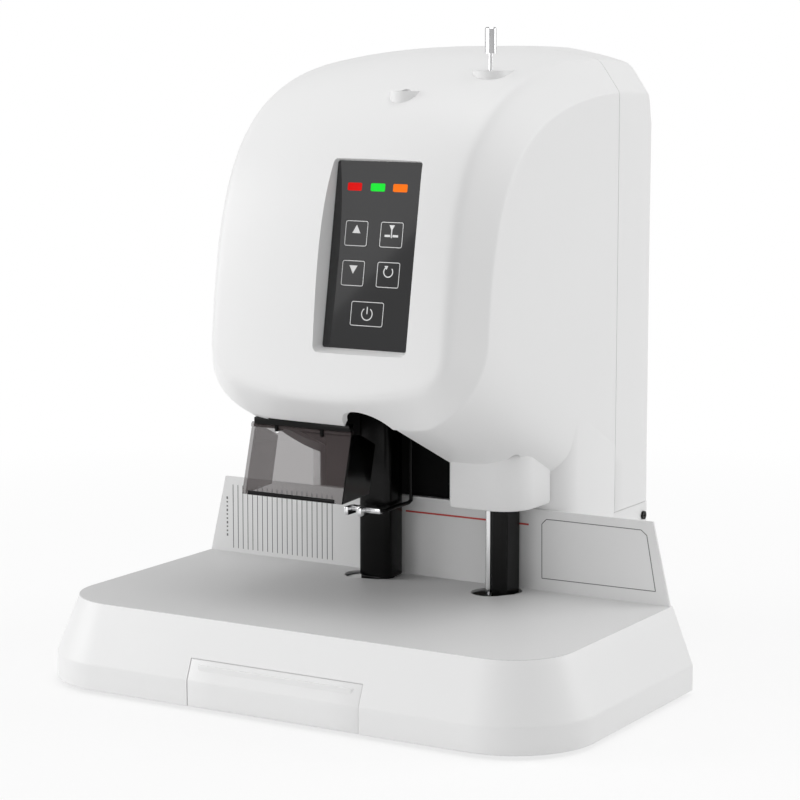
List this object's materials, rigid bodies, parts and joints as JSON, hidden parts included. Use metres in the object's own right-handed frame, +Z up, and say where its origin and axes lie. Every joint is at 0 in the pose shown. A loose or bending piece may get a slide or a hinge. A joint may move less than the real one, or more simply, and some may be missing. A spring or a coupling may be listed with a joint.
{
  "type": "document riveting machine",
  "caption": "Desk document binder with an overhanging head: a drill station and a hot rivet station over a table, sloping control panel, smoked shield and chip drawer.",
  "frame": {"origin": "middle of the footprint's bounding box at desk level, under the feet", "axes": "+X to the machine's right as the user faces it, +Y to the back, +Z up"},
  "size_m": [0.4472, 0.373, 0.489],
  "materials": {
    "white_shell": "fine satin",
    "white_drawer": "fine satin",
    "bottom_steel": "zinc plated",
    "rubber": "matt",
    "table_grey": "fine textured",
    "fence_grey": "satin",
    "pad_white": "plain",
    "black_plastic": "satin",
    "bright_steel": "polished",
    "brass": "machined",
    "panel_black": "glossy",
    "lamp_red": "lit",
    "lamp_green": "lit",
    "lamp_amber": "lit",
    "key_black": "glossy with printed outline",
    "board": "lacquered",
    "smoked": "smoked acrylic",
    "cast": "machined",
    "dark_metal": "satin",
    "rack_steel": "machined"
  },
  "bodies": {
    "machine": {"base_housing": "white_shell", "base_bottom_plate": "bottom_steel", "rubber_feet": "rubber", "table_plate": "table_grey", "back_fence": "fence_grey", "cutting_pad": "pad_white", "pad_cup": "black_plastic", "lower_die": "bright_steel", "die_heater": "brass", "drawer_rails": "bottom_steel", "front_cover": "white_shell", "rear_cover": "white_shell", "lower_rear_cover": "white_shell", "cover_screws": "bright_steel", "rivet_housing": "white_shell", "bay_liner": "black_plastic", "panel_glass": "panel_black", "led_red": "lamp_red", "led_green": "lamp_green", "led_amber": "lamp_amber", "panel_board": "board", "shield_pin": "bright_steel", "mast_frame": "bottom_steel", "drill_guide_rods": "bright_steel", "rivet_guide_rods": "bright_steel", "drill_feed_motor": "dark_metal", "rivet_feed_motor": "dark_metal", "guide_tube": "bright_steel", "transformer": "dark_metal", "power_inlet": "black_plastic"},
    "drawer": {"chip_drawer": "white_drawer"},
    "shield": {"smoked_shield": "smoked", "shield_strip": "black_plastic"},
    "drill_carriage": {"drill_carriage": "cast", "drill_guard": "black_plastic", "drill_motor": "dark_metal", "drill_rack": "rack_steel", "drive_belt": "rubber"},
    "spindle": {"drill_spindle": "bright_steel", "drill_chuck": "dark_metal", "drill_bit": "bright_steel", "spindle_pulley": "dark_metal"},
    "motor_shaft": {"motor_pulley": "dark_metal"},
    "drill_feed": {"drill_pinion": "brass"},
    "press_foot": {"press_foot": "bright_steel"},
    "rivet_carriage": {"rivet_carriage": "cast", "rivet_guard": "black_plastic", "rivet_rod": "bright_steel", "heater_block": "brass", "press_ram": "bright_steel", "rivet_rack": "rack_steel"},
    "rivet_feed": {"rivet_pinion": "brass"},
    "pusher": {"push_rod": "bright_steel"},
    "rocker": {"power_rocker": "black_plastic"},
    "up_key": {"key_up": "key_black"},
    "down_key": {"key_down": "key_black"},
    "rivet_key": {"key_rivet": "key_black"},
    "reset_key": {"key_reset": "key_black"},
    "start_key": {"key_start": "key_black"}
  },
  "joints": [
    {"name": "chip_drawer_slide", "type": "slide", "parent": "machine", "child": "drawer", "axis": [0, -1, 0], "range_m": [0, 0.11]},
    {"name": "shield_swing", "type": "hinge", "parent": "machine", "child": "shield", "pos_m": [-0.04, -0.0815, 0.1944], "axis": [-1, 0, 0], "range_deg": [0, 60]},
    {"name": "drill_lift", "type": "slide", "parent": "machine", "child": "drill_carriage", "axis": [0, 0, 1], "range_m": [0, 0.058]},
    {"name": "spindle_spin", "type": "hinge", "parent": "drill_carriage", "child": "spindle", "pos_m": [-0.042, 0.019, 0.2], "axis": [0, 0, 1], "continuous": true},
    {"name": "motor_spin", "type": "hinge", "parent": "drill_carriage", "child": "motor_shaft", "pos_m": [-0.042, 0.062, 0.25], "axis": [0, 0, 1], "continuous": true},
    {"name": "drill_feed_turn", "type": "hinge", "parent": "machine", "child": "drill_feed", "pos_m": [0.0104, 0.061, 0.262], "axis": [0, 1, 0], "range_deg": [0, 280]},
    {"name": "press_foot_slide", "type": "slide", "parent": "machine", "child": "press_foot", "axis": [0, 0, -1], "range_m": [0, 0.048], "stiffness_N_per_m": 30, "springref_m": -0.06},
    {"name": "rivet_lift", "type": "slide", "parent": "machine", "child": "rivet_carriage", "axis": [0, 0, 1], "range_m": [0, 0.058]},
    {"name": "rivet_feed_turn", "type": "hinge", "parent": "machine", "child": "rivet_feed", "pos_m": [0.0149, 0.061, 0.302], "axis": [0, -1, 0], "range_deg": [0, 280]},
    {"name": "push_rod_slide", "type": "slide", "parent": "machine", "child": "pusher", "axis": [0, 0, 1], "range_m": [0, 0.09]},
    {"name": "rocker_tilt", "type": "hinge", "parent": "machine", "child": "rocker", "pos_m": [0.0705, 0.1793, 0.048], "axis": [1, 0, 0], "range_deg": [0, 20]},
    {"name": "up_key_press", "type": "slide", "parent": "machine", "child": "up_key", "axis": [0, 0.9854, -0.1701], "range_m": [0, 0.0006], "stiffness_N_per_m": 600},
    {"name": "down_key_press", "type": "slide", "parent": "machine", "child": "down_key", "axis": [0, 0.9854, -0.1701], "range_m": [0, 0.0006], "stiffness_N_per_m": 600},
    {"name": "rivet_key_press", "type": "slide", "parent": "machine", "child": "rivet_key", "axis": [0, 0.9854, -0.1701], "range_m": [0, 0.0006], "stiffness_N_per_m": 600},
    {"name": "reset_key_press", "type": "slide", "parent": "machine", "child": "reset_key", "axis": [0, 0.9854, -0.1701], "range_m": [0, 0.0006], "stiffness_N_per_m": 600},
    {"name": "start_key_press", "type": "slide", "parent": "machine", "child": "start_key", "axis": [0, 0.9854, -0.1701], "range_m": [0, 0.0006], "stiffness_N_per_m": 600}
  ],
  "couplings": [
    {"joint": "drill_feed_turn", "follows": "drill_lift", "rad_per_m": 83.333},
    {"joint": "rivet_feed_turn", "follows": "rivet_lift", "rad_per_m": 83.333},
    {"joint": "motor_spin", "follows": "spindle_spin", "ratio": 1}
  ]
}
